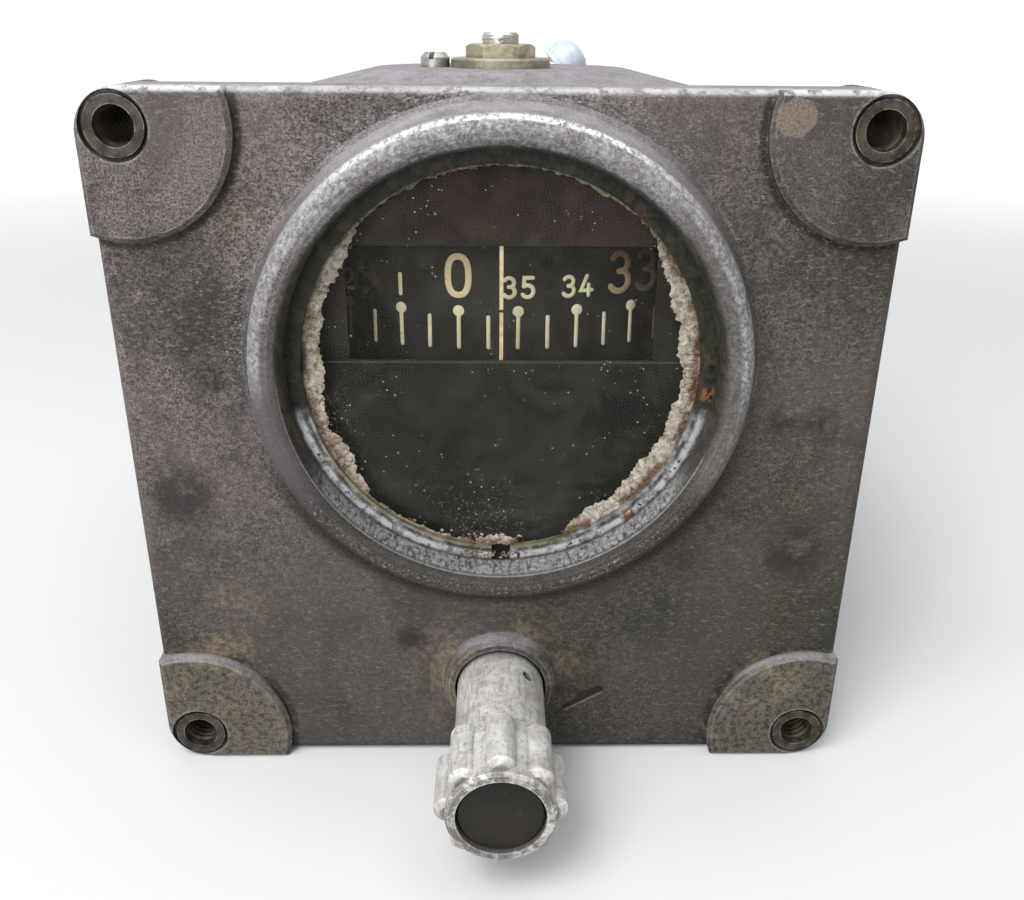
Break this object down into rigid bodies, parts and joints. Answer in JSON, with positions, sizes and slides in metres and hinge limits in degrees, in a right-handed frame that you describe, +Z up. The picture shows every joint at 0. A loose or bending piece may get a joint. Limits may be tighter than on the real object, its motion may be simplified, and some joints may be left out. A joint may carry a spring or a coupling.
{
  "type": "directional gyro",
  "caption": "Panel directional gyro with a square cast flange, round window over a turning azimuth card, and a fluted push-and-turn caging knob.",
  "frame": {"origin": "centre of the four mounting screws, on the faces of the corner pads", "axes": "-Y out of the panel towards the pilot, +X to the pilot's right, +Z up"},
  "size_m": [0.1334, 0.1828, 0.136],
  "materials": {
    "cast_case": "crinkled dark paint on cast aluminium",
    "insert_steel": "worn plated steel",
    "window_glass": "flat glass",
    "gasket_rubber": "matte",
    "mask_black": "flat black",
    "lubber_cream": "cream paint",
    "filter_felt": "woven gauze",
    "bearing_steel": "ground",
    "lower_cap_steel": "olive plated",
    "brass": "aged",
    "stud_steel": "machined",
    "port_aluminium": "machined",
    "port_cap_plastic": "pale blue",
    "gimbal_aluminium": "machined",
    "card_black": "flat black with cream figures",
    "rotor_brass": "turned",
    "knob_metal": "worn bare casting",
    "knob_insert_black": "matte"
  },
  "bodies": {
    "case": {"main_case": "cast_case", "mounting_inserts": "insert_steel", "window_glass": "window_glass", "window_gasket": "gasket_rubber", "window_mask": "mask_black", "lubber_line": "lubber_cream", "retaining_ring": "insert_steel", "cover_gasket": "gasket_rubber", "rear_cover": "cast_case", "cover_screws": "insert_steel", "air_filter": "filter_felt", "filter_ring": "insert_steel", "upper_bearing": "bearing_steel", "lower_bearing": "bearing_steel", "lower_bearing_cap": "lower_cap_steel", "bearing_cover": "lower_cap_steel", "lock_nut": "brass", "pivot_stud": "stud_steel", "crown_screws": "insert_steel", "suction_port": "port_aluminium", "port_cap": "port_cap_plastic", "shaft_bush": "brass", "guide_posts": "stud_steel"},
    "azimuth_gimbal": {"vertical_gimbal": "gimbal_aluminium", "air_nozzles": "brass", "gimbal_pivots": "stud_steel", "azimuth_card": "card_black", "card_spider": "gimbal_aluminium", "card_screws": "stud_steel", "synchroniser_gear": "brass"},
    "rotor_housing": {"rotor_case": "gimbal_aluminium", "rotor_case_cover": "gimbal_aluminium", "rotor_bearings": "bearing_steel", "tilt_bearings": "bearing_steel", "balance_weights": "brass"},
    "rotor_wheel": {"rotor": "rotor_brass", "rotor_shaft": "stud_steel"},
    "shifter": {"shift_frame": "stud_steel"},
    "knob": {"caging_knob": "knob_metal", "knob_set_screw": "insert_steel", "knob_insert": "knob_insert_black", "caging_shaft": "stud_steel", "caging_pinion": "brass"},
    "yoke": {"caging_yoke": "gimbal_aluminium"}
  },
  "joints": [
    {"name": "azimuth_turn", "type": "hinge", "parent": "case", "child": "azimuth_gimbal", "pos_m": [0, 0.073, 0], "axis": [0, 0, 1], "continuous": true},
    {"name": "rotor_tilt", "type": "hinge", "parent": "azimuth_gimbal", "child": "rotor_housing", "pos_m": [0, 0.073, 0.004], "axis": [1, 0, 0], "range_deg": [-55, 55]},
    {"name": "rotor_spin", "type": "hinge", "parent": "rotor_housing", "child": "rotor_wheel", "pos_m": [0, 0.073, 0.004], "axis": [0, 1, 0], "continuous": true},
    {"name": "knob_push", "type": "slide", "parent": "case", "child": "shifter", "axis": [0, 1, 0], "range_m": [0, 0.008]},
    {"name": "knob_turn", "type": "hinge", "parent": "shifter", "child": "knob", "pos_m": [0, 0, -0.046], "axis": [0, 1, 0], "continuous": true},
    {"name": "yoke_lift", "type": "slide", "parent": "case", "child": "yoke", "axis": [0, 0, 1], "range_m": [0, 0.004]}
  ],
  "couplings": [
    {"joint": "yoke_lift", "follows": "knob_push", "ratio": 0.5}
  ]
}
